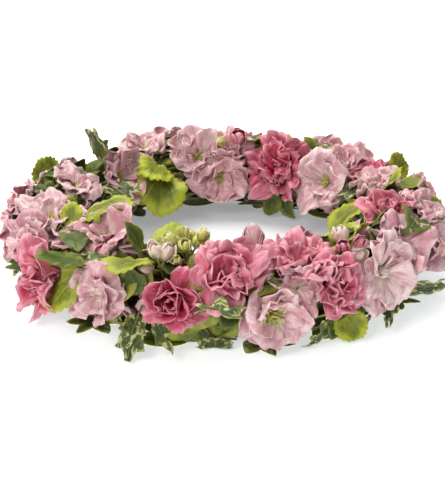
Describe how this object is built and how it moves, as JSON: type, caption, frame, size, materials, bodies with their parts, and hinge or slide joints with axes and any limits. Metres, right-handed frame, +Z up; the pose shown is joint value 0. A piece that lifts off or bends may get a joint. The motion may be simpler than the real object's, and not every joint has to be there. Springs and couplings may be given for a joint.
{
  "type": "flower lei",
  "caption": "Round fresh flower lei lying flat: stock florets, spray carnations, buds, lime and ivy leaves on a taped hoop of stems bound with wire, open in the middle.",
  "frame": {"origin": "on the surface the lei lies on, below the middle of its bounding box", "axes": "+Z up out of the surface; -Y towards the side that the picture shows nearest, +X to the picture's right"},
  "size_m": [0.3076, 0.315, 0.0922],
  "materials": {
    "stock_petal": "soft satin petal, pale pink with a whitish base",
    "carnation_petal": "soft matte petal, rose pink with a paler serrated rim",
    "deep_carnation_petal": "soft matte petal, deep pink",
    "lime_leaf": "satin leaf, green with a yellow-green margin",
    "ivy_leaf": "satin leaf, dark green with cream variegation",
    "green_leaf": "satin leaf, mid green",
    "stem": "matte green stem under floral tape",
    "wire": "green lacquered wire",
    "green_bud": "satin bud, yellow green",
    "pale_bud": "satin bud, cream to pale pink"
  },
  "bodies": {
    "root": {"stem_ring": "stem", "binding_wire": "wire", "stock_spray_left": "stock_petal", "stock_front_left": "stock_petal", "stock_left_inner": "stock_petal", "stock_left_rear": "stock_petal", "stock_rear_left": "stock_petal", "stock_rear_left_top": "stock_petal", "stock_spray_rear": "stock_petal", "stock_spray_right_rear": "stock_petal", "stock_right_rear": "stock_petal", "stock_spray_right": "stock_petal", "stock_spray_right_front": "stock_petal", "stock_front": "stock_petal", "stock_spray_outer_left": "stock_petal", "stock_spray_outer_rear_left": "stock_petal", "stock_spray_outer_rear": "stock_petal", "stock_spray_outer_rear_right": "stock_petal", "stock_spray_outer_right": "stock_petal", "stock_inner_left": "stock_petal", "stock_inner_front_left": "stock_petal", "stock_inner_front_right": "stock_petal", "carnation_left": "carnation_petal", "carnation_rear": "deep_carnation_petal", "carnation_rear_right": "carnation_petal", "carnation_right": "deep_carnation_petal", "carnation_front_right": "carnation_petal", "carnation_front_low": "carnation_petal", "carnation_front": "carnation_petal", "carnation_front_left": "deep_carnation_petal", "carnation_outer_rear": "carnation_petal", "carnation_inner_front": "carnation_petal", "lime_sprig_left": "lime_leaf", "lime_sprig_left_top": "lime_leaf", "lime_sprig_rear_left": "lime_leaf", "lime_sprig_right_inner": "lime_leaf", "lime_sprig_front_right": "lime_leaf", "lime_sprig_front_low": "lime_leaf", "leaf_sprig_right": "lime_leaf", "leaf_sprig_rear": "green_leaf", "leaf_sprig_rear_right": "green_leaf", "leaf_sprig_right_rear": "green_leaf", "leaf_sprig_front": "green_leaf", "leaf_backing_2": "green_leaf", "leaf_backing_4": "green_leaf", "leaf_backing_6": "green_leaf", "ivy_sprig_left": "ivy_leaf", "ivy_sprig_rear_left": "ivy_leaf", "ivy_sprig_front_left": "ivy_leaf", "ivy_sprig_front_right": "ivy_leaf", "ivy_sprig_right_low": "ivy_leaf", "ivy_backing_1": "ivy_leaf", "ivy_backing_3": "ivy_leaf", "ivy_backing_5": "ivy_leaf", "ivy_backing_7": "ivy_leaf", "bud_spray_front_green": "green_bud", "bud_rear": "green_bud", "bud_spray_front_pale": "pale_bud", "bud_spray_right_pink": "pale_bud", "bud_front_pale": "pale_bud"}
  },
  "joints": []
}
